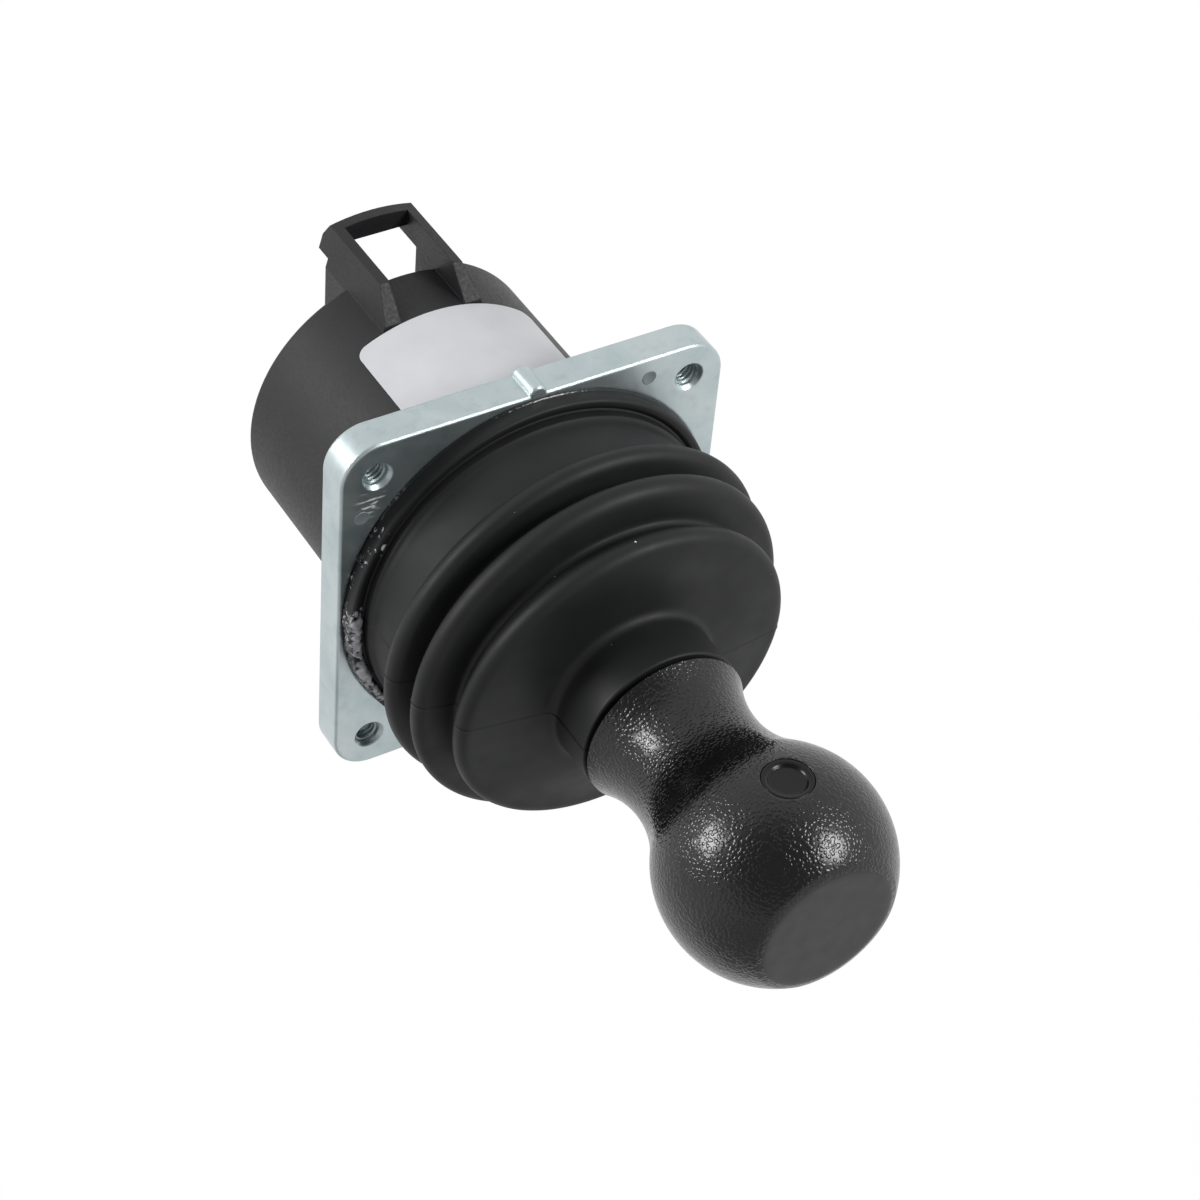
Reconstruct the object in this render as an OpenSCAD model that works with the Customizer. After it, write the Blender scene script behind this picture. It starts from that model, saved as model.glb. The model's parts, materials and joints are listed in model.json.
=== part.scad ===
// Panel-mounted two-axis industrial joystick with a ball grip and one push-button.
// Frame: origin at the centre of the mounting plate's upper face, +Z along the lever at rest,
// +Y towards the button, the locating key and the connector latch. Millimetres.

/* [Mounting plate] */
// Distance between the centres of the tapped mounting holes
hole_pitch = 57.15; // [57.15:0.05:60]
// Distance from the holes' centres to the plate's edges
hole_to_edge = 6.425; // [6:0.005:8]
// Thickness of the plate
plate_t = 6.3; // [5:0.1:7]
// Radius of the plate's corners
plate_corner_r = 7; // [3:0.5:8]
// Radius of the rounding along the plate's edges
plate_edge = 0.5; // [0.2:0.1:0.8]
// Radius of the mounting holes, an M5 tapping drill
hole_r = 2.1; // [1.6:0.05:2.4]
// Chamfer at the mouths of the mounting holes
hole_chamfer = 0.6; // [0.2:0.1:0.8]
// Radius of the half-round locating key on the +Y edge
key_r = 1.6; // [1:0.1:2.4]
// How far the key stands out of the edge
key_proud = 1.4; // [0.6:0.1:1.6]
// Radius of the bore that the lever passes through
bore_r = 17; // [16.8:0.1:17.6]
// Depth of the recess that the boot sits in
recess = 0.3; // [0.2:0.1:0.6]

/* [Lever and gimbal] */
// Tilt of the lever to each side, in degrees
tilt_max = 20; // [12:1:20]
// Depth of the two pivot axes below the plate's upper face
pivot_depth = 22; // [22:0.25:23]
// Radius of the lever shaft
shaft_r = 4; // [3.4:0.1:4.2]
// Radius of the wire channel in the shaft
channel_r = 1.1; // [1:0.1:1.6]
// Distance from the ball's centre down to the shaft's top end
shaft_short = 18; // [16:0.5:24]
// Length of the shaft below the pivot
shaft_tail = 10; // [9.5:0.25:10.5]
// Inner radius of the gimbal ring
ring_in_r = 9.5; // [9.5:0.1:10]
// Wall of the gimbal ring
ring_wall = 4; // [3.6:0.1:4.2]
// Height of the gimbal ring
ring_h = 9; // [8.6:0.2:9.4]
// Radius of the pivot pins
pin_r = 2; // [1.6:0.1:2.2]
// Radius of the bushes around the pivot pins
bush_r = 3; // [2.6:0.1:3.2]
// Thickness of the bushes' flanges
bush_flange = 1; // [0.6:0.1:1]
// Radial running clearance of a pin in its bush
run_gap = 0.05; // [0.03:0.01:0.08]
// Gap between faces that turn past each other
face_gap = 0.3; // [0.3:0.05:0.4]
// Thickness of the square gate that limits the tilt
gate_t = 2; // [1.5:0.1:2.2]
// Thickness of the pivot carrier's plate
carrier_t = 3; // [2.6:0.1:3.2]
// Thickness of the carrier's two ears
ear_t = 3; // [2.6:0.1:3.4]

/* [Centring springs] */
// Radius of the spring wire
wire_r = 0.4; // [0.3:0.05:0.45]
// Whole turns of each spring, besides the half turn between its legs
spring_turns = 2; // [1:1:2]
// Mean radius of the coils
coil_r = 3.4; // [3.3:0.05:3.6]
// Distance of the fixed post from the axis
fixed_post = 6.5; // [6:0.1:7]
// Distance of the moving post from the axis
moving_post = 9; // [8.6:0.1:9.3]
// Radius of the posts
post_r = 1; // [0.8:0.1:1.1]

/* [Housing] */
// Gap between the outer crank and the housing's inner wall
can_clear = 1.6; // [1.4:0.1:3]
// Wall of the housing
can_wall = 2.2; // [1.8:0.1:2.4]
// Distance from the pivot axes down to the housing's end
can_below = 26.1; // [26:0.1:28]
// Thickness of the housing's end wall
can_floor = 2; // [1.6:0.1:2.4]
// Rounding of the housing's end
can_edge = 1; // [0.4:0.1:1.5]
// Thickness of the gasket under the plate
gasket_t = 0.7; // [0.5:0.1:1]
// Distance from the housing's inner wall to the centres of its screws
screw_inset = 2.6; // [2.4:0.1:2.8]
// Radius of the housing screws
can_screw_r = 1.25; // [1:0.05:1.4]
// Length of the housing screws
can_screw_len = 16; // [12:0.5:18]

/* [Connector and latch guard] */
// Half of the clear width between the guard's side walls
guard_in = 6; // [5:0.1:6.4]
// Half of the guard's width at its outer face
guard_out = 7.7; // [7.2:0.1:8.4]
// Half of the guard's width where it meets the housing
guard_foot = 9.5; // [8.8:0.1:10]
// How far the guard's curved outer face stands out of the housing
guard_proud = 5.4; // [4.8:0.1:6]
// How far the guard reaches past the housing's end
guard_reach = 10.5; // [10.4:0.1:12]
// Thickness of the cross bar at the guard's far end
guard_bar = 3.3; // [2.6:0.1:3.3]
// Radial thickness of the cross bar
guard_bar_deep = 3.7; // [3.2:0.1:4.4]
// Radial depth of the guard's walls past the shroud
guard_deep = 6; // [5:0.1:6.4]
// How far the bevel of the guard's far end reaches back along the lever
guard_bevel = 1.3; // [0.8:0.1:2]
// How far the bevel of the guard's far end reaches inwards
guard_bevel_deep = 2.1; // [1.6:0.1:3.2]
// How much wider the latch's room is under the guard's walls
latch_room = 1.9; // [1:0.1:2]
// How far the window reaches along the housing, from the housing's end
window_back = 8.8; // [7.5:0.1:9.5]
// Length of the gussets beyond the window
gusset_len = 4.8; // [4:0.1:6]
// How far the connector's shroud stands out of the housing's end
shroud_reach = 7.1; // [6:0.1:7.1]
// Length of the connector socket along Y
socket_len = 20; // [16:0.5:21]
// Offset of the socket's centre towards the guard
socket_y = 2; // [0:0.5:2]
// How deep the socket's floor lies inside the housing's end
socket_sunk = 3.8; // [3:0.1:4]
// Radius of the contact pins
contact_r = 0.6; // [0.4:0.05:0.8]
// Distance between neighbouring contact pins
contact_pitch = 4.2; // [3:0.1:5]

/* [Circuit board] */
// Thickness of the circuit board
board_t = 1.6; // [1:0.1:1.8]
// Height of the posts under the circuit board
board_post_h = 5; // [4.6:0.1:5.1]
// Gap around the circuit board
board_gap = 0.8; // [0.6:0.1:1.5]

/* [Boot] */
// How far inside the plate's edges the boot's base bead ends
bead_inset = 1; // [1:0.1:2]
// How far the base bead stands out of the boot's wall
bead_out = 2.8; // [2:0.1:3]
// Height of the base bead
bead_h = 3; // [2.4:0.1:3.4]
// Thickness of the rubber
rubber_t = 1.8; // [1.4:0.1:2]
// How far the first fold stands out of the wall
fold1_out = 3.7; // [2.6:0.1:3.7]
// How far the second fold stands out of the wall
fold2_out = 3.3; // [2.4:0.1:3.6]
// How far the third fold stands out of the wall
fold3_out = 0.5; // [0:0.1:1.5]
// Distance between the folds along the lever
fold_pitch = 6.8; // [6.4:0.1:7]
// Height of the boot's face where it meets the collar
face_foot_z = 33.7; // [33:0.1:35]
// Radius of the fillet between the boot's face and its collar
collar_fillet = 1.5; // [0.8:0.1:2]
// Thickness of the boot's collar
collar_t = 1.9; // [1.5:0.1:2.4]
// Height of the collar
collar_h = 9.7; // [9:0.1:10.5]

/* [Ball grip] */
// Radius of the ball
ball_r = 18.9; // [18.4:0.1:20]
// Height of the ball's centre above the boot's collar
ball_up = 32.6; // [31.5:0.1:35]
// Radius of the waist
waist_r = 11.95; // [11.4:0.05:12.6]
// Radius of the hollow curve between waist and ball
waist_curve = 20; // [18:0.5:22]
// Radius of the flat top
flat_r = 11.9; // [11.7:0.1:13]
// Radius of the stem inside the boot's collar
stem_r = 12.5; // [12:0.1:12.6]
// Length of the stem inside the boot's collar
stem_len = 8.4; // [7:0.1:9]
// Radius of the threaded insert
insert_r = 6; // [5.4:0.1:7]
// Thickness of the cap in the flat top
cap_t = 2.4; // [1.6:0.1:3]

/* [Push-button] */
// Radius of the button's head
button_r = 3.45; // [3:0.05:3.6]
// Gap around the button's head
button_gap = 0.3; // [0.2:0.05:0.4]
// Radius of the button's guide
guide_r = 2.6; // [2.2:0.1:2.8]
// Travel of the button
button_travel = 1; // [0.5:0.1:1]
// Radius of the dished finger rest
dish_r = 2.35; // [1.8:0.05:2.6]

/* [Hidden] */
$fn = 96;
EPS = 0.01;

// Levels of the plate and of the stack under it
seat_z = -recess;
seat_gap = 0.3;
plate_bottom = -plate_t;
gate_bottom = plate_bottom - gate_t;
carrier_bottom = gate_bottom - carrier_t;
pivot_z = -pivot_depth;
plate_side = hole_pitch + 2 * hole_to_edge;
can_depth = pivot_depth + can_below;

// Gimbal
ring_out_r = ring_in_r + ring_wall;
ring_boss_r = 4.5;
ring_boss_end = ring_out_r + 0.7;
bush_flange_r = 4;
bush_seat = ring_in_r - 0.3;
ear_in = ring_boss_end + face_gap + bush_flange;
ear_out = ear_in + ear_t;
ear_half = 6;
carrier_hole_r = 13.5;
pad_half = 12;
pad_gap = 1.2;
carrier_screw_x = 17.8;
carrier_screw_y = 9.2;
carrier_screw_r = 1.25;
carrier_screw_grip = 4;

// Centring springs: the coil sits on the crank's hub, beside the ear or the ring
hub_r = 2.7;
crank_r = 4;
crank_t = 1.6;
coil_side_gap = 0.15;
coil_pitch = 2 * wire_r + 0.05;
coil_len = (spring_turns + 0.5) * coil_pitch;
leg_y = post_r + wire_r + 0.05;
leg_end = moving_post + post_r + 0.4;
gimbal_hub = ear_out + face_gap;
lever_hub = ring_out_r + face_gap;
crank_offset = coil_len + 2 * wire_r + 2 * coil_side_gap;

// Square gate: room for the shaft in the corner of the tilt range
gate_h = pivot_depth - plate_t;
gate_half = gate_h * tan(tilt_max) / cos(tilt_max)
    + shaft_r * sqrt(pow(sin(tilt_max), 2) + pow(cos(tilt_max), 4)) / pow(cos(tilt_max), 2)
    + face_gap;
gate_corner_r = 3;

// Housing
can_in_r = gimbal_hub + crank_offset + crank_t + can_clear;
can_r = can_in_r + can_wall;
pad_r = can_in_r - pad_gap;
can_top = plate_bottom - gasket_t;
can_end = -can_depth;
floor_top = can_end + can_floor;
screw_boss_r = 2.9;
screw_boss_len = 13;
carrier_r = can_in_r - screw_inset - screw_boss_r - face_gap;
can_screw_xy = (can_in_r - screw_inset) / sqrt(2);
screw_head_r = 2.8;
screw_head_h = 1.6;
hex_af = 2;
board_bottom = floor_top + board_post_h;
board_top = board_bottom + board_t;
board_r = can_in_r - board_gap;
board_post_r = 2.2;
board_post_inset = 5.3;
board_post_xy = (can_in_r - board_post_inset) / sqrt(2);
board_screw_r = 1;
board_screw_grip = 3;
board_screw_head_r = 1.9;
board_screw_head_h = 1;
sensor_side = 2.4;
sensor_gap = 1.2;
sensor_h = 1;
channel_floor = can_end + 3;
guard_r = can_r + guard_proud;
guard_depth = can_depth + guard_reach;
shroud_depth = can_depth + shroud_reach;
window_depth = can_depth - window_back;
gusset_depth = window_depth - gusset_len;
guard_lean = 0.8;
socket_floor = can_depth - socket_sunk;
shroud_wall = guard_out - guard_in;
socket_lo = socket_y - socket_len / 2;
socket_hi = socket_y + socket_len / 2;
contact_tip = -shroud_depth + 4.2;
contact_rows = 3;

// Label
label_t = 0.15;
label_from = 49;
label_to = 122;
label_top = plate_bottom - 1.2;
label_clear = 0.3;

// Boot
bead_r = plate_side / 2 - bead_inset;
boot_wall_r = bead_r - bead_out;
base_lip = 2.2;
boot_in_r = boot_wall_r - base_lip;
boot_ring_wide = 2.5;
boot_ring_gap = 0.1;
fold1_r = boot_wall_r + fold1_out;
fold2_r = boot_wall_r + fold2_out;
fold3_r = boot_wall_r + fold3_out;
fold3_z = face_foot_z - 4.5;
fold2_z = fold3_z - fold_pitch;
fold1_z = fold2_z - fold_pitch;
fold_tip = 1.9;
groove_tip = 0.9;
groove_up = 0.2;
groove1_r = boot_wall_r - 0.7;
groove2_r = boot_wall_r - 2.5;
stem_gap = 0.1;
collar_r = stem_r + stem_gap + collar_t;
collar_top = face_foot_z + collar_h;

// Grip
ball_z = collar_top + ball_up;
top_z = ball_z + sqrt(pow(ball_r, 2) - pow(flat_r, 2));
shaft_top = ball_z - shaft_short;
waist_c = waist_r + waist_curve;
waist_z = ball_z - sqrt(pow(ball_r + waist_curve, 2) - pow(waist_c, 2));
skirt_z = collar_top + 0.5;
stem_bottom = skirt_z - stem_len;
insert_top = shaft_top + 2;
cavity_floor = ball_z - 3.5;
cavity_r = flat_r - 1.5;
cap_r = flat_r - 0.2;
cap_skin = 0.5;
shoulder_y = ball_r - 3.4;
head_y = ball_r;
head_t = head_y - shoulder_y - button_travel - face_gap;
clip_r = guide_r + 0.6;
clip_front = cavity_r - 0.8;
clip_t = 0.8;
clip_rear = clip_front - clip_t;
button_spring_len = button_travel + 1.4;
switch_front = clip_rear - button_spring_len;
switch_deep = 6;
switch_wide = 12.8;
switch_tall = 6.5;
plunger_r = 1;
plunger_in = 1.6;
leads_r = channel_r - 0.3;
leads_out_z = pivot_z - 6.4;
holder_r = 5.5;
holder_h = 5;
magnet_r = 3;
magnet_t = 3;

// Pivot block
block_r = shaft_r + 2.2;
block_h = ring_h + 0.6;

// Route of the loose leads from the shaft's side hole to the board
leads_route = [[0, -shaft_r - 0.2, leads_out_z], [0, -5.6, leads_out_z],
    [0, -7.2, leads_out_z - 0.5], [0, -8.6, leads_out_z - 1.8], [0, -9.4, leads_out_z - 3.6],
    [0, -9.9, leads_out_z - 6], [0, -10, leads_out_z - 8.6], [0, -10, board_top]];

// ---------- shared shapes ----------

module along_x(x0, x1, r) {
    translate([x0, 0, 0]) rotate([0, 90, 0]) cylinder(r = r, h = x1 - x0);
}

module along_y(y0, y1, r) {
    translate([0, y0, 0]) rotate([-90, 0, 0]) cylinder(r = r, h = y1 - y0);
}

module at_pivot() {
    translate([0, 0, pivot_z]) children();
}

module four(x, y) {
    for (sx = [-1, 1], sy = [-1, 1]) translate([sx * x, sy * y, 0]) children();
}

module rounded_square(half, r) {
    difference() {
        square(2 * half, center = true);
        for (sx = [-1, 1], sy = [-1, 1]) scale([sx, sy]) corner_bite(half, r);
    }
}

module corner_bite(half, r) {
    difference() {
        translate([half - r, half - r]) square(r + 1);
        translate([half - r, half - r]) circle(r = r);
    }
}

// Countersunk screw, head face at z = 0, shank downwards
module countersunk(r, len, head_r, head_h) {
    difference() {
        union() {
            translate([0, 0, -len]) cylinder(r = r, h = len - head_h + EPS);
            translate([0, 0, -head_h]) cylinder(r1 = r, r2 = head_r, h = head_h);
        }
        translate([0, 0, -head_h * 0.7]) cylinder(r = hex_af / sqrt(3), h = head_h, $fn = 6);
    }
}

// Cap screw, underside of the head at z = 0, shank upwards
module cap_screw(r, len, head_r, head_h) {
    difference() {
        union() {
            translate([0, 0, -EPS]) cylinder(r = r, h = len + EPS);
            translate([0, 0, -head_h]) cylinder(r = head_r, h = head_h);
        }
        translate([0, 0, -head_h - EPS]) cylinder(r = hex_af / sqrt(3), h = head_h * 0.6, $fn = 6);
    }
}

// Flanged bush along +X, flange towards the start
module bush(x0, len) {
    difference() {
        union() {
            along_x(x0, x0 + bush_flange, bush_flange_r);
            along_x(x0, x0 + bush_flange + len, bush_r);
        }
        along_x(x0 - 1, x0 + bush_flange + len + 1, pin_r + run_gap);
    }
}

function unit(v) = v / norm(v);
function tangent(p, i) = unit(p[min(i + 1, len(p) - 1)] - p[max(i - 1, 0)]);

// Frames along a path by the smallest turn from one ring to the next
function carried(p, i, n) = i == 0 ? [n]
    : let (before = carried(p, i - 1, n), last = before[i - 1], t = tangent(p, i))
        concat(before, [unit(last - t * (last * t))]);

// Round wire swept along a path; side is any vector across the path's first stretch
module wire(p, r, side, sides = 8) {
    rings = len(p);
    across = carried(p, rings - 1, unit(side - tangent(p, 0) * (side * tangent(p, 0))));
    points = [for (i = [0:rings - 1], k = [0:sides - 1])
        p[i] + r * (cos(360 * k / sides) * across[i]
            + sin(360 * k / sides) * cross(tangent(p, i), across[i]))];
    skin = [for (i = [0:rings - 2], k = [0:sides - 1])
        let (a = i * sides + k, b = i * sides + (k + 1) % sides)
            [a, a + sides, b + sides, b]];
    first = [[for (k = [0:sides - 1]) k]];
    last = [[for (k = [sides - 1:-1:0]) (rings - 1) * sides + k]];
    polyhedron(points = points, faces = concat(skin, first, last), convexity = 6);
}

// Two-legged centring spring: coil about the X axis, both legs down towards the posts
function leg(x, s) = [[x, s * leg_y, -leg_end], [x, s * leg_y, -fixed_post + 0.6],
    [x, s * (leg_y + coil_r) / 2, -fixed_post / 2 + 0.2], [x, s * (coil_r - 0.12), -0.9]];
function coil(x, steps) = [for (i = [0:steps])
    let (a = (spring_turns * 360 + 180) * i / steps)
        [x + coil_len * i / steps, coil_r * cos(a), coil_r * sin(a)]];
function reversed(p) = [for (i = [len(p) - 1:-1:0]) p[i]];

module centring_spring(hub) {
    x = hub + wire_r + coil_side_gap;
    wire(concat(leg(x, 1), coil(x, 20 * spring_turns + 10), reversed(leg(x + coil_len, -1))),
        wire_r, [1, 0, 0]);
}

// Crank pressed on a pivot pin: hub under the coil, arm downwards, post between the legs
module crank(hub) {
    face = hub + crank_offset;
    difference() {
        union() {
            along_x(hub, face + crank_t, hub_r);
            along_x(face, face + crank_t, crank_r);
            translate([face, -2, -moving_post]) cube([crank_t, 4, moving_post]);
            translate([0, 0, -moving_post]) along_x(face, face + crank_t, 2);
            translate([0, 0, -moving_post]) along_x(hub + 0.2, face + EPS, post_r);
        }
        along_x(hub - 1, face + crank_t + 1, pin_r);
    }
}

// ---------- fixed body ----------

module mounting_hole() {
    translate([0, 0, plate_bottom - 1]) cylinder(r = hole_r, h = plate_t + 2);
    translate([0, 0, -hole_chamfer])
        cylinder(r1 = hole_r, r2 = hole_r + hole_chamfer + EPS, h = hole_chamfer + EPS);
    translate([0, 0, plate_bottom - EPS])
        cylinder(r1 = hole_r + hole_chamfer + EPS, r2 = hole_r, h = hole_chamfer + EPS);
}

// Cross-section of a slab as thick as the plate, with rounded edges
module slab_section(half) {
    square([2 * half, plate_t - 2 * plate_edge], center = true);
    square([2 * (half - plate_edge), plate_t], center = true);
    for (sx = [-1, 1], sy = [-1, 1])
        translate([sx * (half - plate_edge), sy * (plate_t / 2 - plate_edge)]) circle(r = plate_edge);
}

module round_slab(r) {
    rotate_extrude() intersection() {
        slab_section(r);
        translate([0, -plate_t]) square([r + 1, 2 * plate_t]);
    }
}

module plate_slab() {
    half = plate_side / 2;
    straight = half - plate_corner_r;
    translate([0, 0, plate_bottom / 2]) {
        for (a = [0, 90]) rotate([90, 0, 90 + a])
            translate([0, 0, -straight]) linear_extrude(2 * straight) slab_section(half);
        four(straight, straight) round_slab(plate_corner_r);
        translate([0, half + key_proud - key_r, 0]) round_slab(key_r);
    }
}

module flange_plate() {
    color("gainsboro") difference() {
        plate_slab();
        translate([0, 0, plate_bottom - 1]) cylinder(r = bore_r, h = plate_t + 2);
        translate([0, 0, seat_z]) cylinder(r = bead_r + seat_gap, h = recess + 1);
        four(hole_pitch / 2, hole_pitch / 2) mounting_hole();
        four(can_screw_xy, can_screw_xy) {
            translate([0, 0, plate_bottom - 1]) cylinder(r = can_screw_r + 0.3, h = plate_t + 2);
            translate([0, 0, seat_z - screw_head_h - EPS])
                cylinder(r1 = can_screw_r + EPS, r2 = screw_head_r + 0.1, h = screw_head_h + 2 * EPS);
        }
        four(carrier_screw_x, carrier_screw_y)
            translate([0, 0, plate_bottom - EPS])
                cylinder(r = carrier_screw_r, h = carrier_screw_grip + EPS);
    }
}

module carrier_outline() {
    circle(r = carrier_r);
    intersection() {
        circle(r = pad_r);
        square([2 * pad_r, 2 * pad_half], center = true);
    }
}

module carrier_screw_holes() {
    four(carrier_screw_x, carrier_screw_y)
        translate([0, 0, carrier_bottom - 1]) cylinder(r = carrier_screw_r + 0.25, h = carrier_t + gate_t + 2);
}

module gate_plate() {
    color("silver") difference() {
        translate([0, 0, gate_bottom]) linear_extrude(gate_t) difference() {
            carrier_outline();
            rounded_square(gate_half, gate_corner_r);
        }
        carrier_screw_holes();
    }
}

module ear() {
    translate([ear_in, -ear_half, -fixed_post - 3])
        cube([ear_t, 2 * ear_half, carrier_bottom - pivot_z + fixed_post + 3 + EPS]);
}

module pivot_carrier() {
    color("darkgray") difference() {
        union() {
            translate([0, 0, carrier_bottom]) linear_extrude(carrier_t) difference() {
                carrier_outline();
                circle(r = carrier_hole_r);
            }
            at_pivot() {
                ear();
                mirror([1, 0, 0]) ear();
                translate([0, 0, -fixed_post])
                    along_x(ear_out - 1, gimbal_hub + crank_offset - face_gap, post_r);
            }
        }
        at_pivot() along_x(-pad_r, pad_r, bush_r);
        carrier_screw_holes();
    }
}

module carrier_screws() {
    color("dimgray") four(carrier_screw_x, carrier_screw_y) translate([0, 0, carrier_bottom])
        cap_screw(carrier_screw_r, carrier_t + gate_t + carrier_screw_grip - 0.4, 2.6, 2.6);
}

module carrier_bushes() {
    color("goldenrod") at_pivot() {
        bush(ring_boss_end + face_gap, ear_t);
        mirror([1, 0, 0]) bush(ring_boss_end + face_gap, ear_t);
    }
}

module housing_gasket() {
    color("black") difference() {
        translate([0, 0, can_top]) cylinder(r = can_r, h = gasket_t);
        difference() {
            translate([0, 0, can_top - 1]) cylinder(r = can_in_r, h = gasket_t + 2);
            four(can_screw_xy, can_screw_xy)
                translate([0, 0, can_top - 2]) cylinder(r = screw_boss_r, h = gasket_t + 4);
        }
        four(can_screw_xy, can_screw_xy)
            translate([0, 0, can_top - 1]) cylinder(r = can_screw_r + 0.3, h = gasket_t + 2);
    }
}

// Cross-section of one guard wall, seen along the lever: upright inside, sloped outside
module guard_wall_section() {
    polygon([[guard_in, socket_hi], [guard_foot, socket_hi], [guard_foot, can_in_r],
        [guard_out, guard_r - guard_lean], [guard_out, guard_r + 1], [guard_in, guard_r + 1]]);
}

// Side view of the guard walls: gusset, window side, far end and the step back to the shroud
module guard_side_view() {
    polygon([[0, -gusset_depth], [can_r - 0.6, -gusset_depth], [guard_r - guard_lean, -window_depth],
        [guard_r + 1, -window_depth], [guard_r + 1, -guard_depth], [guard_r - guard_deep, -guard_depth],
        [guard_r - guard_deep, -shroud_depth], [0, -shroud_depth]]);
}

module side_view_solid(half) {
    rotate([90, 0, 90]) translate([0, 0, -half]) linear_extrude(2 * half) guard_side_view();
}

module latch_guard() {
    intersection() {
        side_view_solid(guard_foot + 1);
        translate([0, 0, -guard_depth]) rotate_extrude()
            polygon([[0, 0], [guard_r - guard_bevel_deep, 0], [guard_r, guard_bevel],
                [guard_r, guard_depth - gusset_depth + 1], [0, guard_depth - gusset_depth + 1]]);
        union() {
            for (m = [0, 1]) mirror([m, 0, 0]) translate([0, 0, -guard_depth])
                linear_extrude(guard_depth - gusset_depth + 1) guard_wall_section();
            translate([-guard_in - EPS, guard_r - guard_bar_deep, -guard_depth])
                cube([2 * (guard_in + EPS), guard_bar_deep + 1, guard_bar]);
        }
    }
}

module connector_shroud() {
    translate([-guard_in - shroud_wall, socket_lo - shroud_wall, -shroud_depth])
        cube([2 * (guard_in + shroud_wall), socket_len + 2 * shroud_wall, shroud_depth - socket_floor + 1.8]);
}

module contact_holes(r, z0, z1) {
    for (sx = [-1, 1], row = [0:contact_rows - 1])
        translate([sx * contact_pitch / 2, socket_y + (row - (contact_rows - 1) / 2) * contact_pitch, z0])
            cylinder(r = r, h = z1 - z0, $fn = 32);
}

module can_outside() {
    rotate_extrude() {
        translate([0, can_end + can_edge]) square([can_r, can_top - can_end - can_edge]);
        translate([0, can_end]) square([can_r - can_edge, can_edge + EPS]);
        translate([can_r - can_edge, can_end + can_edge]) circle(r = can_edge);
    }
}

module can_housing() {
    color([0.13, 0.13, 0.14]) difference() {
        union() {
            difference() {
                can_outside();
                translate([0, 0, floor_top]) cylinder(r = can_in_r, h = can_depth);
            }
            intersection() {
                translate([0, 0, can_end]) cylinder(r = can_r - 1, h = can_top - can_end);
                union() {
                    four(can_screw_xy, can_screw_xy) translate([0, 0, can_top - screw_boss_len])
                        cylinder(r = screw_boss_r, h = screw_boss_len);
                    four(board_post_xy, board_post_xy) translate([0, 0, floor_top - EPS])
                        cylinder(r = board_post_r, h = board_bottom - floor_top + EPS);
                    translate([-guard_foot, socket_hi, can_end + EPS])
                        cube([2 * guard_foot, can_r, channel_floor + can_floor - can_end]);
                }
            }
            difference() {
                latch_guard();
                translate([0, 0, floor_top]) cylinder(r = can_in_r, h = can_depth);
            }
            connector_shroud();
        }
        translate([-guard_in, socket_lo, -shroud_depth - 1])
            cube([2 * guard_in, socket_len, shroud_depth - socket_floor + 1]);
        translate([-guard_in, socket_hi + shroud_wall, -guard_depth + guard_bar])
            cube([2 * guard_in, can_r, guard_depth - guard_bar + channel_floor]);
        translate([-guard_in - latch_room, socket_hi + shroud_wall, -shroud_depth - 1])
            cube([2 * (guard_in + latch_room), guard_r - guard_deep - socket_hi - shroud_wall,
                shroud_reach + 1]);
        contact_holes(contact_r, -socket_floor - 1, -socket_floor + 3);
        four(can_screw_xy, can_screw_xy) translate([0, 0, can_top - screw_boss_len + 1.5])
            cylinder(r = can_screw_r, h = screw_boss_len);
        four(board_post_xy, board_post_xy) translate([0, 0, floor_top + 0.6])
            cylinder(r = board_screw_r, h = 2 * board_post_h);
    }
}

module housing_screws() {
    color("dimgray") four(can_screw_xy, can_screw_xy) translate([0, 0, seat_z])
        countersunk(can_screw_r, can_screw_len, screw_head_r, screw_head_h);
}

module circuit_board() {
    color("darkgreen") difference() {
        translate([0, 0, board_bottom]) cylinder(r = board_r, h = board_t);
        contact_holes(contact_r, board_bottom - 1, board_top + 1);
        four(board_post_xy, board_post_xy)
            translate([0, 0, board_bottom - 1]) cylinder(r = board_screw_r + 0.1, h = board_t + 2);
    }
}

module board_screws() {
    color("silver") four(board_post_xy, board_post_xy) translate([0, 0, board_top]) {
        translate([0, 0, -board_t - board_screw_grip])
            cylinder(r = board_screw_r, h = board_t + board_screw_grip + EPS);
        cylinder(r = board_screw_head_r, h = board_screw_head_h);
    }
}

module hall_sensors() {
    color("black") for (s = [-1, 1])
        translate([(s - 1) * sensor_side / 2 + s * sensor_gap / 2, -sensor_side / 2, board_top])
            cube([sensor_side, sensor_side, sensor_h]);
}

module contact_pins() {
    color("goldenrod") contact_holes(contact_r, contact_tip, board_top + 0.8);
}

module blank_label() {
    color("white") rotate([0, 0, label_from])
        rotate_extrude(angle = label_to - label_from)
            translate([can_r, label_clear - gusset_depth])
                square([label_t, gusset_depth - label_clear + label_top]);
}

// ---------- boot ----------

// Outside of the boot from the base to the collar, as radius and height
function arc(c, r, a0, a1, n) = [for (i = [0:n]) let (a = a0 + (a1 - a0) * i / n)
    [c[0] + r * cos(a), c[1] + r * sin(a)]];

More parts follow.
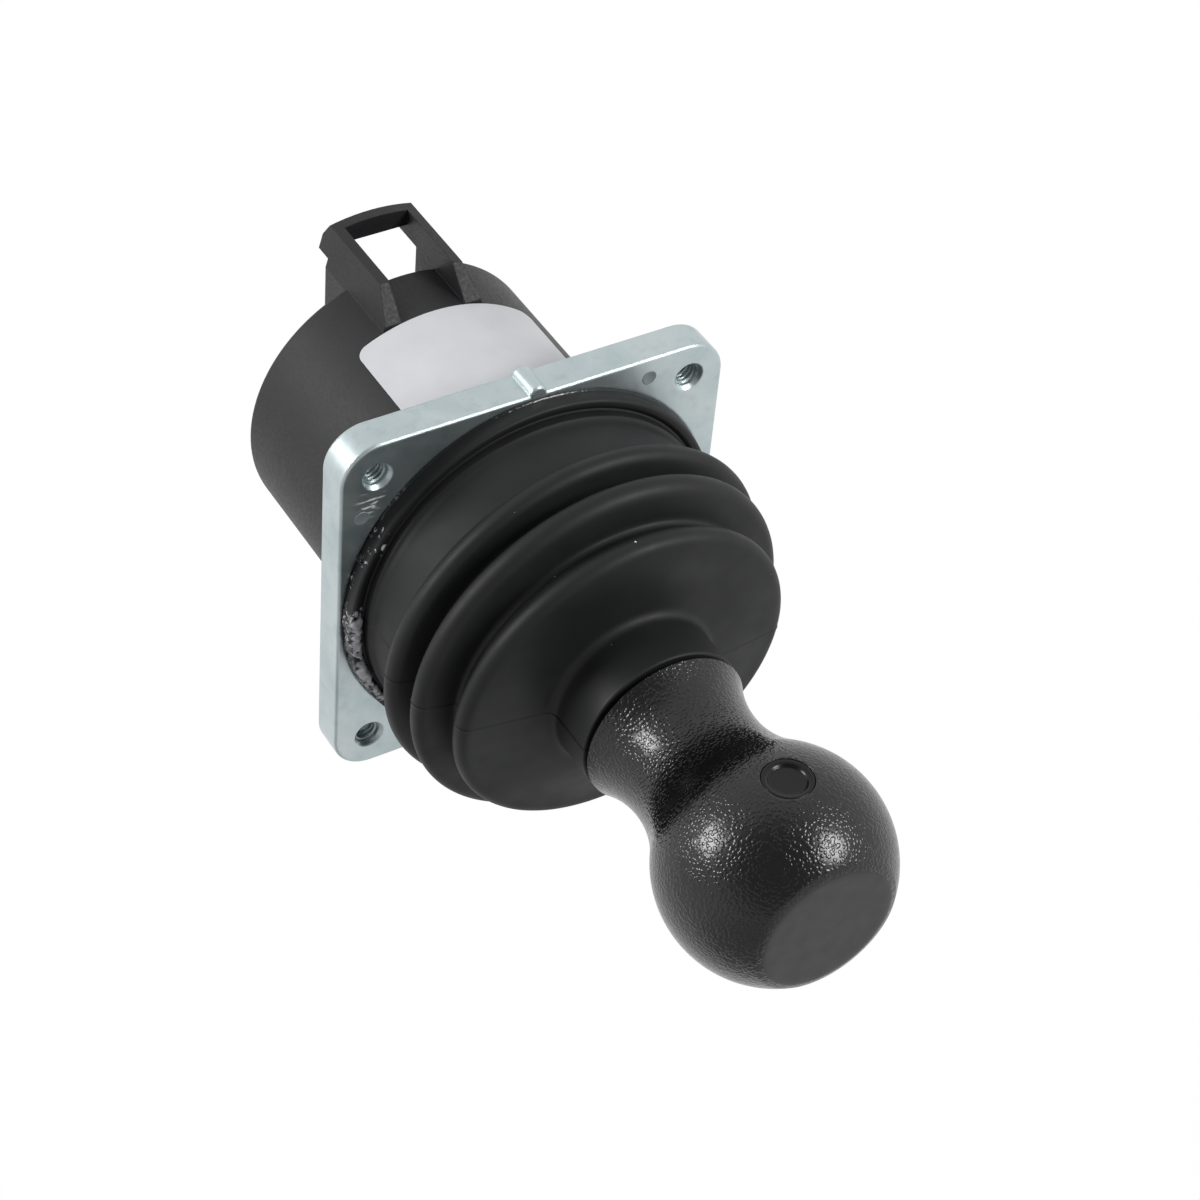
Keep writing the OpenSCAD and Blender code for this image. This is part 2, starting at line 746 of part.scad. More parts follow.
function boot_outside() = concat(
    [[bead_r, seat_z]],
    arc([bead_r - 0.6, bead_h - 0.6], 0.6, 0, 90, 3),
    [[bead_r - 1.5, bead_h - 1.4], [boot_wall_r + 0.5, bead_h - 1.4], [boot_wall_r + 0.3, bead_h + 0.7],
        [boot_wall_r, bead_h + 0.9], [boot_wall_r, fold1_z - 4]],
    arc([fold1_r - fold_tip, fold1_z], fold_tip, -60, 75, 7),
    arc([groove1_r + groove_tip, (fold1_z + fold2_z) / 2 + groove_up], groove_tip, 240, 120, 4),
    arc([fold2_r - fold_tip, fold2_z], fold_tip, -75, 75, 7),
    arc([groove2_r + groove_tip, (fold2_z + fold3_z) / 2 + groove_up], groove_tip, 240, 120, 4),
    arc([fold3_r - fold_tip, fold3_z], fold_tip, -75, 70, 7),
    arc([collar_r + collar_fillet, face_foot_z + collar_fillet - 0.2], collar_fillet, 260, 180, 4),
    [[collar_r, collar_top - 0.4], [collar_r - 0.4, collar_top]]);

// Inside of the boot: the same folds, one rubber thickness in
function boot_inside() = concat(
    [[boot_in_r, seat_z], [boot_in_r, bead_h + 1], [boot_wall_r - rubber_t, bead_h + 2],
        [boot_wall_r - rubber_t, fold1_z - 3]],
    [[fold1_r - fold_tip - 0.6, fold1_z - 0.6], [fold1_r - fold_tip - 0.6, fold1_z + 0.6]],
    [[groove1_r - rubber_t, (fold1_z + fold2_z) / 2 - 0.6], [groove1_r - rubber_t, (fold1_z + fold2_z) / 2 + 0.8]],
    [[fold2_r - fold_tip - 0.6, fold2_z - 0.4], [fold2_r - fold_tip - 0.6, fold2_z + 0.6]],
    [[groove2_r - rubber_t, (fold2_z + fold3_z) / 2 - 0.6], [groove2_r - rubber_t, (fold2_z + fold3_z) / 2 + 0.8]],
    [[fold3_r - fold_tip - 0.8, fold3_z - 0.4], [fold3_r - fold_tip - 1.2, fold3_z + 0.2]],
    [[stem_r + stem_gap, face_foot_z - rubber_t + 0.5], [stem_r + stem_gap, collar_top]]);

module boot() {
    color([0.1, 0.1, 0.1]) rotate_extrude() polygon(concat(boot_outside(), reversed(boot_inside())));
}

module boot_ring() {
    color("silver") rotate_extrude() translate([boot_in_r - boot_ring_gap - boot_ring_wide, seat_z])
        square([boot_ring_wide, bead_h]);
}

module sealant_bead() {
    color("black") rotate_extrude()
        polygon([[bead_r, seat_z], [bead_r + seat_gap, seat_z], [bead_r + seat_gap, 0], [bead_r, 0.9]]);
}

module board_leads() {
    color("dimgray") wire(leads_route, leads_r, [1, 0, 0]);
}

// ---------- gimbal body ----------

module gimbal_ring() {
    color("slategray") at_pivot() difference() {
        union() {
            translate([0, 0, -ring_h / 2]) cylinder(r = ring_out_r, h = ring_h);
            along_x(-ring_boss_end, ring_boss_end, ring_boss_r);
            translate([-2, ring_out_r - 2.6, -fixed_post - 1.6]) cube([4, 2.4, fixed_post]);
            translate([0, 0, -fixed_post])
                along_y(ring_out_r - 1, lever_hub + crank_offset - face_gap, post_r);
        }
        translate([0, 0, -fixed_post - ring_h]) cylinder(r = ring_in_r, h = 3 * ring_h);
        along_y(-bush_seat, bush_seat, bush_flange_r + 0.2);
        along_x(-ring_boss_end - 1, ring_boss_end + 1, pin_r);
        along_y(-ring_out_r - 1, ring_out_r + 1, bush_r);
    }
}

module gimbal_pins() {
    color("lightgray") at_pivot() {
        along_x(ring_in_r + 0.4, gimbal_hub + crank_offset + crank_t, pin_r);
        along_x(-ear_out - 0.8, -ring_in_r - 0.4, pin_r);
    }
}

module gimbal_bushes() {
    color("goldenrod") at_pivot() for (a = [90, 270]) rotate([0, 0, a])
        bush(bush_seat - bush_flange, ring_out_r - bush_seat - 0.3);
}

module gimbal_crank() {
    color("gray") at_pivot() crank(gimbal_hub);
}

module gimbal_spring() {
    color("silver") at_pivot() centring_spring(gimbal_hub);
}

// ---------- lever body ----------

module lever_shaft() {
    color("lightgray") difference() {
        translate([0, 0, pivot_z - shaft_tail]) cylinder(r = shaft_r, h = shaft_top - pivot_z + shaft_tail);
        translate([0, 0, leads_out_z - channel_r]) cylinder(r = channel_r, h = shaft_top - pivot_z + shaft_tail);
        translate([0, 0, leads_out_z]) along_y(-shaft_r - 1, 0, channel_r);
    }
}

module pivot_block() {
    color("silver") at_pivot() difference() {
        union() {
            translate([0, 0, -block_h / 2]) cylinder(r = block_r, h = block_h);
            along_y(-bush_seat + bush_flange + face_gap, bush_seat - bush_flange - face_gap, bush_flange_r);
        }
        translate([0, 0, -block_h]) cylinder(r = shaft_r, h = 2 * block_h);
        along_y(-ring_out_r, ring_out_r, pin_r);
    }
}

module lever_pins() {
    color("lightgray") at_pivot() {
        along_y(shaft_r + 0.2, lever_hub + crank_offset + crank_t, pin_r);
        along_y(-ring_out_r - 0.8, -shaft_r - 0.2, pin_r);
    }
}

module lever_crank() {
    color("gray") at_pivot() rotate([0, 0, 90]) crank(lever_hub);
}

module lever_spring() {
    color("silver") at_pivot() rotate([0, 0, 90]) centring_spring(lever_hub);
}

module magnet_holder() {
    color("dimgray") translate([0, 0, pivot_z - shaft_tail]) difference() {
        translate([0, 0, -magnet_t]) cylinder(r = holder_r, h = holder_h);
        cylinder(r = shaft_r, h = holder_h);
        translate([0, 0, -magnet_t - 1]) cylinder(r = magnet_r, h = magnet_t + 1.5);
    }
}

module magnet() {
    color("silver") translate([0, 0, pivot_z - shaft_tail - magnet_t]) cylinder(r = magnet_r, h = magnet_t);
}

module shaft_leads() {
    color("dimgray") {
        translate([0, 0, leads_out_z]) cylinder(r = leads_r, h = cavity_floor - leads_out_z);
        translate([0, 0, leads_out_z]) sphere(r = leads_r);
        translate([0, 0, leads_out_z]) along_y(-shaft_r - 0.2, 0, leads_r);
    }
}

// ---------- grip ----------

// Outline of the grip as radius and height: stem, skirt, hollow waist, ball and flat top
function grip_outline() = concat(
    [[0, stem_bottom], [stem_r - 0.5, stem_bottom], [stem_r, stem_bottom + 0.5], [stem_r, skirt_z]],
    [for (i = [0:12]) let (z = skirt_z + 0.5 + (waist_z + 6 - skirt_z) * i / 12)
        [waist_c - sqrt(pow(waist_curve, 2) - pow(z - waist_z, 2)), z]],
    [for (i = [0:24]) let (a0 = acos(waist_c / (ball_r + waist_curve)), a1 = asin((top_z - ball_z) / ball_r),
        a = -a0 + (a1 + a0) * i / 24) [ball_r * cos(a), ball_z + ball_r * sin(a)]],
    [[0, top_z]]);

module switch_bore() {
    translate([0, 0, ball_z]) {
        along_y(shoulder_y, ball_r + 2, button_r + button_gap);
        along_y(cavity_r / 2, ball_r, guide_r + run_gap);
    }
}

module grip() {
    color([0.08, 0.08, 0.08]) difference() {
        rotate_extrude() polygon(grip_outline());
        translate([0, 0, stem_bottom - 1]) cylinder(r = insert_r, h = insert_top - stem_bottom + 1);
        cylinder(r = channel_r, h = ball_z);
        translate([0, 0, cavity_floor]) cylinder(r = cavity_r, h = top_z - cavity_floor + 1);
        translate([0, 0, top_z - cap_skin]) cylinder(r = cap_r, h = cap_skin + 1);
        switch_bore();
    }
}

module grip_insert() {
    color("goldenrod") difference() {
        union() {
            translate([0, 0, stem_bottom]) cylinder(r = insert_r - 0.6, h = insert_top - stem_bottom);
            for (k = [0:2]) translate([0, 0, stem_bottom + 1 + k * 8]) cylinder(r = insert_r, h = 6);
        }
        translate([0, 0, stem_bottom - 1]) cylinder(r = shaft_r, h = shaft_top - stem_bottom + 1);
        translate([0, 0, stem_bottom]) cylinder(r = channel_r, h = insert_top);
    }
}

module grip_cap() {
    color([0.1, 0.1, 0.1]) {
        translate([0, 0, top_z - cap_skin]) cylinder(r = cap_r, h = cap_skin);
        translate([0, 0, top_z - cap_t]) cylinder(r = cavity_r, h = cap_t);
    }
}

module switch_body() {
    color([0.2, 0.2, 0.22]) difference() {
        translate([-switch_wide / 2, switch_front - switch_deep, cavity_floor])
            cube([switch_wide, switch_deep, switch_tall]);
        translate([0, 0, ball_z])
            along_y(switch_front - plunger_in - button_travel - 0.4, switch_front + 1, plunger_r + run_gap);
    }
}

// Outline of the button as radius and distance along +Y: dished head, guide, clip
function button_outline() = concat(
    [[0, clip_rear], [clip_r, clip_rear], [clip_r, clip_front], [guide_r, clip_front],
        [guide_r, head_y - head_t], [button_r, head_y - head_t]],
    arc([button_r - 0.7, head_y - 0.7], 0.7, 0, 90, 6),
    [[dish_r, head_y], [dish_r - 0.4, head_y - 0.3], [0, head_y - 0.45]]);

module button() {
    color([0.05, 0.05, 0.05]) translate([0, 0, ball_z]) rotate([-90, 0, 0])
        rotate_extrude() polygon(button_outline());
}

module switch_plunger() {
    color("firebrick") translate([0, 0, ball_z]) along_y(switch_front - plunger_in, clip_rear, plunger_r);
}

module button_spring() {
    turns = 3;
    steps = 20 * turns;
    r = 0.2;
    path = [for (i = [0:steps]) [1.9 * cos(360 * turns * i / steps),
        switch_front + r + 0.05 + (button_spring_len - 2 * r - 0.1) * i / steps,
        1.9 * sin(360 * turns * i / steps)]];
    color("silver") translate([0, 0, ball_z]) wire(path, r, [1, 0, 0], 6);
}

flange_plate();
gate_plate();
pivot_carrier();
carrier_screws();
carrier_bushes();
housing_gasket();
can_housing();
housing_screws();
circuit_board();
board_screws();
hall_sensors();
contact_pins();
blank_label();
boot();
boot_ring();
sealant_bead();
board_leads();
gimbal_ring();
gimbal_pins();
gimbal_bushes();
gimbal_crank();
gimbal_spring();
lever_shaft();
pivot_block();
lever_pins();
lever_crank();
lever_spring();
magnet_holder();
magnet();
shaft_leads();
grip();
grip_insert();
grip_cap();
switch_body();
button();
switch_plunger();
button_spring();
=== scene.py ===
"""Looks of a two-axis industrial joystick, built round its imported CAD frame.

Lengths are written in millimetres and scaled by MM; angles are in degrees, azimuths from +X.
An outline is a list of (radius, height). A form is a pair: its points and its faces.
"""
import json
import math

import bmesh
import bpy
from mathutils import Matrix, Vector, noise


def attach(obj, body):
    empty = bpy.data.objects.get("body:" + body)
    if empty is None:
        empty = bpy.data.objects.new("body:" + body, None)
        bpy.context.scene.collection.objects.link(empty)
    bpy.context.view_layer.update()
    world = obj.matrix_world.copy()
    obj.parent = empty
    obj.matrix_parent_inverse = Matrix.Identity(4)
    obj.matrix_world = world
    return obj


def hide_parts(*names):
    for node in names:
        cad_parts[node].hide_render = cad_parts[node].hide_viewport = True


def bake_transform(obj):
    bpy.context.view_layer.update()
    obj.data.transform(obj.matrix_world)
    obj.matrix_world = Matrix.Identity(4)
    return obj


MM = 0.001
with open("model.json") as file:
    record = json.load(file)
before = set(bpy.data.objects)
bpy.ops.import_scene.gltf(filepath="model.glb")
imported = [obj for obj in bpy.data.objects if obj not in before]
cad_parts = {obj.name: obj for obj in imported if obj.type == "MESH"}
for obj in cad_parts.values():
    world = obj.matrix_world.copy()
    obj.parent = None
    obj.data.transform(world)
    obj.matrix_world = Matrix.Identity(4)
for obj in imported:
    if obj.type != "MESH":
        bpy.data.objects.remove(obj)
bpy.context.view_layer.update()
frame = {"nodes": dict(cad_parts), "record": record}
NODES = frame["nodes"]
MOUNTS = {mount["name"]: mount for mount in frame["record"]["mounts"]}

# ---------- sizes, in millimetres ----------

HOLES = MOUNTS["mounting_holes"]["dims"]
HOLE_XY = HOLES["spacing_x_mm"] / 2
HOLE_R = HOLES["hole_r_mm"]
THREAD_PITCH = 0.8
THREAD_DEPTH = 0.42
THREAD_TOP = -0.75       # first and last turn of a thread, inside the hole's chamfers
THREAD_END = -5.55

CAN_R = 27.425           # outside of the round housing
LABEL_FROM = 49          # azimuths and heights of the label's edges
LABEL_TO = 122
LABEL_LOW = -34.2
LABEL_TOP = -7.5
LABEL_CORNER = 2.0
LABEL_THICK = 0.15
LABEL_GLUE = 0.02        # room between the housing and the film

BOOT_FOOT = -0.3         # underside of the boot, in the plate's shallow seat
BEAD_R = 34.0
BEAD_TOP = 3.0
BEAD_ROUND = 0.6         # rounding of the bead's outer edge
WALL_R = 31.2            # plain wall below the folds
COLLAR_R = 14.4
FOLDS = [(33.0, 15.7, 1.9), (31.8, 22.6, 2.1), (28.1, 30.1, 2.0)]  # tips: radius, height, rounding
FOLD_LEANS = [(-0.6, 1.8), (-0.73, 1.33), (-0.15, 2.3)]            # rise towards +X and +Y
SPLIT_Z = 19.0           # groove where the boot's lower and upper piece meet
GROOVES = [(30.9, SPLIT_Z, 0.8), (28.3, 26.2, 0.9)]
SEAM_AZ = 177.0          # azimuth of the boot's moulding seam; the other one is opposite
SEAM_RISE = 0.12         # how far the seam stands up
SEAM_LINE = 0.27         # half the width of the dark line along the seam
SEAM_STEP = 0.3          # the seam's ridge, in degrees to each side

BALL_Z = 76.0            # centre of the grip's ball
BALL_R = 18.9
FLAT_R = 11.9            # edge of the flat top
WAIST_R = 11.95
WAIST_CURVE = 20.0       # radius of the hollow between skirt and ball
SKIRT_Z = 43.9           # underside of the grip, just above the boot's collar
STEM_R = 12.5            # stem inside the boot's collar
STEM_END = 35.5
BUTTON_R = 4.1
BUTTON_GAP = 0.05        # room round the button
RECESS_FLOOR = 14.6      # depths from the ball's centre, along +Y
BUTTON_BACK = 15.9

LEAD_R = 0.8

SMEAR_FROM = 142         # azimuths between which sealant was wiped over the bead
SMEAR_TO = 216
SMEAR_STEP = 0.25


# ---------- forms ----------

def arc(cx, cy, r, a0, a1, n):
    """Points of a circular arc from angle a0 to a1."""
    angles = [math.radians(a0 + (a1 - a0) * i / n) for i in range(n + 1)]
    return [(cx + r * math.cos(a), cy + r * math.sin(a)) for a in angles]


def dense(points, step):
    """The same outline with no stretch longer than step."""
    out = [points[0]]
    for p, q in zip(points, points[1:]):
        n = max(1, math.ceil(math.dist(p, q) / step))
        out += [(p[0] + (q[0] - p[0]) * i / n, p[1] + (q[1] - p[1]) * i / n)
                for i in range(1, n + 1)]
    return out


def offset(path, k, height):
    """Point k of an open path, moved by height towards its right."""
    (x, y), (x0, y0), (x1, y1) = path[k], path[max(k - 1, 0)], path[min(k + 1, len(path) - 1)]
    length = math.hypot(x1 - x0, y1 - y0)
    return (x + (y1 - y0) / length * height, y - (x1 - x0) / length * height)


def at_azimuth(r, z, azimuth):
    """The point at a radius, a height and an azimuth in radians."""
    return (r * math.cos(azimuth), r * math.sin(azimuth), z)


def turn(count):
    """Azimuths of a whole turn in even steps."""
    return [360.0 * k / count for k in range(count)]


def smoothstep(t):
    """0 up to t = 0, 1 from t = 1, and a smooth rise between."""
    t = min(1.0, max(0.0, t))
    return t * t * (3 - 2 * t)


def revolve(outline, azimuths, closed=False, warp=None):
    """An outline turned about Z through azimuths that go all the way round. Points at radius 0
    become poles. A closed outline runs back to its start. warp(x, y, z, index, azimuth) gives a
    point its new place, where index is the point's number in the outline."""
    points, rows = [], []
    count = len(azimuths)
    for i, (r, z) in enumerate(outline):
        if r < 1e-6:
            rows.append([len(points)] * count)
            points.append((0.0, 0.0, z))
            continue
        rows.append(list(range(len(points), len(points) + count)))
        for azimuth in azimuths:
            point = at_azimuth(r, z, math.radians(azimuth))
            points.append(warp(*point, i, azimuth) if warp else point)
    faces = []
    for low, high in zip(rows, rows[1:] + rows[:1] if closed else rows[1:]):
        for k in range(count):
            m = (k + 1) % count
            face = [low[k], low[m], high[m], high[k]]
            face = [v for j, v in enumerate(face) if v != face[j - 1]]
            if len(face) > 2:
                faces.append(face)
    return points, faces


def loft(sections):
    """A solid through sections, each a loop of as many points."""
    points = [point for section in sections for point in section]
    count = len(sections[0])
    faces = []
    for start in range(0, len(points) - count, count):
        for k in range(count):
            a, b = start + k, start + (k + 1) % count
            faces.append([a, b, b + count, a + count])
    last = len(points) - count
    return points, faces + [list(reversed(range(count))), list(range(last, len(points)))]


def joined(forms):
    """Several forms as one."""
    points, faces = [], []
    for some_points, some_faces in forms:
        start = len(points)
        points += some_points
        faces += [[start + v for v in face] for face in some_faces]
    return points, faces


def moved(form, x, y):
    """A form moved in the plane of the plate's face."""
    points, faces = form
    return [(x + px, y + py, pz) for px, py, pz in points], faces


def add_piece(name, form, body=None, material=None, smooth=35):
    """A mesh piece from a form; smooth is the angle above which edges stay sharp."""
    points, faces = form
    mesh = bpy.data.meshes.new(name)
    mesh.from_pydata([Vector(p) * MM for p in points], [], faces)
    mesh.validate()
    piece = bpy.data.objects.new(name, mesh)
    bpy.context.scene.collection.objects.link(piece)
    if material:
        mesh.materials.append(material)
    mesh.polygons.foreach_set("use_smooth", [True] * len(mesh.polygons))
    mesh.set_sharp_from_angle(angle=math.radians(smooth))
    if body:
        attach(piece, body)
    return piece


# ---------- material nodes ----------

def srgb(r, g, b):
    """A colour given in 0..255 sRGB as the shader's linear colour."""
    def linear(c):
        c /= 255
        return c / 12.92 if c <= 0.04045 else ((c + 0.055) / 1.055) ** 2.4
    return (linear(r), linear(g), linear(b), 1.0)


WHITE = (1.0, 1.0, 1.0, 1.0)


def feed(tree, socket, value):
    """Links an input to another node's output, or gives it a value."""
    if isinstance(value, bpy.types.NodeSocket):
        tree.links.new(value, socket)
    else:
        socket.default_value = value


def add_node(tree, kind, inputs=None, **settings):
    """A node with its settings and with what feeds its inputs."""
    made = tree.nodes.new(kind)
    for key, value in settings.items():
        setattr(made, key, value)
    for key, value in (inputs or {}).items():
        feed(tree, made.inputs[key], value)
    return made


class Material:
    """A Principled material and short calls for the nodes that drive it, in object coordinates."""

    def __init__(self, name, color, rough=0.5, metal=0.0, **sockets):
        self.material = bpy.data.materials.new(name)
        self.material.use_nodes = True
        self.tree = self.material.node_tree
        self.shader = self.tree.nodes["Principled BSDF"]
        self.put("Base Color", color)
        self.put("Roughness", rough)
        self.put("Metallic", metal)
        for key, value in sockets.items():
            self.put(key.replace("_", " "), value)
        self.coords = self.node("ShaderNodeTexCoord").outputs["Object"]

    def node(self, kind, inputs=None, **settings):
        """A node in this material's tree."""
        return add_node(self.tree, kind, inputs, **settings)

    def put(self, socket, value):
        """Feeds one of the shader's own sockets."""
        feed(self.tree, self.shader.inputs[socket], value)

    def noise(self, size, detail=2.0, rough=0.5, distortion=0.0, coords=None, output="Fac"):
        """Noise with lumps of about size millimetres."""
        return self.node("ShaderNodeTexNoise", {
            "Vector": coords or self.coords, "Scale": 1 / (size * MM), "Detail": detail,
            "Roughness": rough, "Distortion": distortion}).outputs[output]

    def cells(self, size, feature="F1", coords=None, smooth=0.4):
        """Distance to the middle of cells of about size millimetres."""
        made = self.node("ShaderNodeTexVoronoi", {
            "Vector": coords or self.coords, "Scale": 1 / (size * MM)}, feature=feature)
        if feature == "SMOOTH_F1":
            made.inputs["Smoothness"].default_value = smooth
        return made.outputs["Distance"]

    def stretched(self, x, y, z):
        """Object coordinates scaled, for noise that runs along an axis."""
        return self.node("ShaderNodeMapping", {
            "Vector": self.coords, "Scale": (x, y, z)}).outputs["Vector"]

    def shifted(self, amount, size):
        """Object coordinates pushed about by noise, both in millimetres."""
        push = self.noise(size, detail=1.0, output="Color")
        return self.node("ShaderNodeVectorMath", {
            0: push, 1: [amount * MM] * 3, 2: self.coords}, operation="MULTIPLY_ADD").outputs[0]

    def near(self, point, radius):
        """1 at a point given in millimetres, falling to 0 at a radius round it."""
        away = self.node("ShaderNodeVectorMath", {
            0: self.coords, 1: [c * MM for c in point]}, operation="DISTANCE").outputs["Value"]
        return self.node("ShaderNodeMapRange", {
            "Value": away, "From Min": 0.3 * radius * MM, "From Max": radius * MM,
            "To Min": 1.0, "To Max": 0.0}).outputs["Result"]

    def ramp(self, factor, *stops):
        """A colour or grey ramp; each stop is (position, colour or number)."""
        made = self.node("ShaderNodeValToRGB", {"Fac": factor})
        band = made.color_ramp
        while len(band.elements) < len(stops):
            band.elements.new(0.5)
        for element, (position, value) in zip(band.elements, stops):
            element.position = position
            element.color = value if hasattr(value, "__len__") else (value, value, value, 1)
        return made.outputs["Color"]

    def mix(self, factor, a, b):
        """Colour a where factor is 0 and colour b where it is 1."""
        made = self.node("ShaderNodeMix", data_type="RGBA")
        sockets = {s.identifier: s for s in made.inputs}
        feed(self.tree, sockets["Factor_Float"], factor)
        feed(self.tree, sockets["A_Color"], a)
        feed(self.tree, sockets["B_Color"], b)
        return {s.identifier: s for s in made.outputs}["Result_Color"]

    def math(self, operation, *values):
        """One sum worked out from sockets or numbers."""
        return self.node("ShaderNodeMath", dict(enumerate(values)), operation=operation).outputs[0]

    def bump(self, height, strength, depth, below=None):
        """A bump of depth millimetres; below is an earlier bump that it lies on."""
        inputs = {"Height": height, "Strength": strength, "Distance": depth * MM}
        if below:
            inputs["Normal"] = below
        out = self.node("ShaderNodeBump", inputs).outputs["Normal"]
        self.put("Normal", out)
        return out

    def rounded_edges(self, radius):
        """Normals that soften a CAD node's edges; radius in millimetres."""
        return self.node("ShaderNodeBevel", {"Radius": radius * MM}, samples=4).outputs["Normal"]


# ---------- materials ----------

SCUFFED = (-29.5, 23.5, 0)   # where the plate's face is scuffed, in millimetres
SMEARED = (-33, 6, 0)        # centre of the sealant's silvery patches: painted glints over a light smear


def zinc_material():
    """Bright zinc plate on a die casting: bluish, mottled, finely pitted, with a few scratches."""
    m = Material("zinc_plate", srgb(186, 198, 200), metal=0.9, rough=0.45)
    clouds = m.noise(14, detail=5, rough=0.6, distortion=0.6)
    tone = m.ramp(clouds, (0.3, srgb(172, 186, 189)), (0.55, srgb(188, 199, 201)),
                  (0.8, srgb(201, 208, 207)))
    stain = m.ramp(m.noise(3.2, detail=4, rough=0.65), (0.52, 0.0), (0.68, 0.35))
    tone = m.mix(stain, tone, srgb(156, 170, 174))
    scuff = m.noise(0.7, detail=3, coords=m.stretched(0.25, 1.0, 1.0))
    scuff = m.ramp(scuff, (0.56, 0.0), (0.6, 1.0))
    scuff = m.math("MULTIPLY", scuff, m.near(SCUFFED, 3.4))
    m.put("Base Color", m.mix(scuff, tone, srgb(222, 224, 222)))
    m.put("Metallic", m.ramp(scuff, (0.0, 0.9), (1.0, 0.2)))
    m.put("Roughness", m.ramp(m.noise(5, detail=6, rough=0.7), (0.3, 0.3), (0.7, 0.41)))
    scratch = m.noise(1.0, detail=1, coords=m.stretched(0.08, 1.0, 1.0))
    scratch = m.ramp(scratch, (0.72, 0.0), (0.76, 1.0))
    below = m.bump(m.noise(0.45, detail=4), 0.2, 0.03, m.rounded_edges(0.45))
    below = m.bump(m.noise(4, detail=2), 0.3, 0.12, below)
    m.bump(scratch, 0.25, 0.03, below)
    return m.material


def rubber_material():
    """Matt black rubber with a faint bloom, a little dust and a dark line along the seam."""
    m = Material("boot_rubber", srgb(25, 26, 26), rough=0.55, Specular_IOR_Level=0.3)
    bloom = m.ramp(m.noise(11, detail=5, rough=0.6), (0.35, 0.0), (0.75, 0.5))
    body = m.mix(bloom, srgb(20, 21, 21), srgb(31, 32, 32))
    dust = m.ramp(m.cells(2.6), (0.03, 1.0), (0.045, 0.0))
    rare = m.ramp(m.noise(2.6, detail=0), (0.60, 0.0), (0.64, 0.55))
    body = m.mix(m.math("MULTIPLY", dust, rare), body, srgb(150, 150, 148))
    seam = math.radians(SEAM_AZ)
    across = m.node("ShaderNodeVectorMath", {
        0: m.coords, 1: (math.sin(seam), -math.cos(seam), 0)}, operation="DOT_PRODUCT")
    line = m.math("LESS_THAN", m.math("ABSOLUTE", across.outputs["Value"]), SEAM_LINE * MM)
    m.put("Base Color", m.mix(line, body, srgb(4, 4, 4)))
    m.put("Roughness", m.ramp(m.noise(6, detail=4), (0.3, 0.5), (0.7, 0.6)))
    below = m.bump(m.noise(0.22, detail=3), 0.16, 0.02)
    m.bump(m.noise(2.5, detail=2), 0.1, 0.05, below)
    return m.material


def housing_material():
    """Charcoal moulded plastic, spark-eroded finish."""
    m = Material("housing_plastic", srgb(35, 35, 37), rough=0.5, Specular_IOR_Level=0.33)
    tone = m.ramp(m.noise(7, detail=4), (0.3, srgb(32, 32, 34)), (0.7, srgb(38, 38, 40)))
    m.put("Base Color", tone)
    m.put("Roughness", m.ramp(m.noise(0.5, detail=2), (0.3, 0.44), (0.7, 0.58)))
    m.bump(m.cells(0.3, "SMOOTH_F1"), 0.2, 0.02, m.rounded_edges(0.3))
    return m.material


def grip_material():
    """Glossy black plastic with a pebbled leather grain."""
    m = Material("grip_plastic", srgb(13, 13, 14), rough=0.2)
    pebble = m.cells(0.62, "SMOOTH_F1", coords=m.shifted(0.35, 1.2), smooth=0.12)
    dome = m.node("ShaderNodeMapRange", {
        "Value": pebble, "From Min": 0.3, "From Max": 0.62, "To Min": 1.0, "To Max": 0.0},
        interpolation_type="SMOOTHSTEP").outputs["Result"]
    below = m.bump(dome, 1.0, 0.04)
    m.bump(m.noise(0.3, detail=2), 0.08, 0.015, below)
    m.put("Roughness", m.ramp(m.noise(5, detail=3), (0.3, 0.17), (0.7, 0.23)))
    return m.material


def flat_top_material():
    """The same plastic with a fine even grain, duller where the cap's face is."""
    m = Material("grip_flat", srgb(15, 15, 16), rough=0.4)
    below = m.bump(m.noise(0.4, detail=3), 0.35, 0.03)
    m.bump(m.noise(0.12, detail=2), 0.3, 0.01, below)
    m.put("Roughness", m.ramp(m.noise(3, detail=4), (0.3, 0.36), (0.7, 0.46)))
    return m.material


def gloss_material(name, color, rough, **sockets):
    """Smooth plastic or paint, hardly uneven."""
    m = Material(name, color, rough=rough, **sockets)
    m.put("Roughness", m.ramp(m.noise(4, detail=3), (0.3, rough * 0.85), (0.7, rough * 1.2)))
    m.bump(m.noise(0.8, detail=2), 0.08, 0.02)
    return m.material


def metal_material(name, color, rough):
    """Bare metal with a fine surface."""
    m = Material(name, color, metal=1.0, rough=rough)
    m.put("Roughness", m.ramp(m.noise(3, detail=4), (0.3, rough * 0.85), (0.7, rough * 1.2)))
    m.bump(m.noise(0.6, detail=3), 0.2, 0.01)
    return m.material


def label_material():
    """Blank white film with a soft gloss."""
    m = Material("label_film", srgb(214, 215, 219), rough=0.35)
    tone = m.ramp(m.noise(9, detail=3), (0.3, srgb(212, 213, 218)), (0.7, srgb(221, 222, 225)))
    m.put("Base Color", tone)
    m.bump(m.noise(3, detail=2), 0.08, 0.02)
    return m.material


def board_material():
    """Green laminate."""
    m = Material("board_laminate", srgb(20, 70, 40), rough=0.4)
    tone = m.ramp(m.noise(2, detail=3), (0.4, srgb(16, 62, 36)), (0.6, srgb(26, 80, 46)))
    m.put("Base Color", tone)
    return m.material


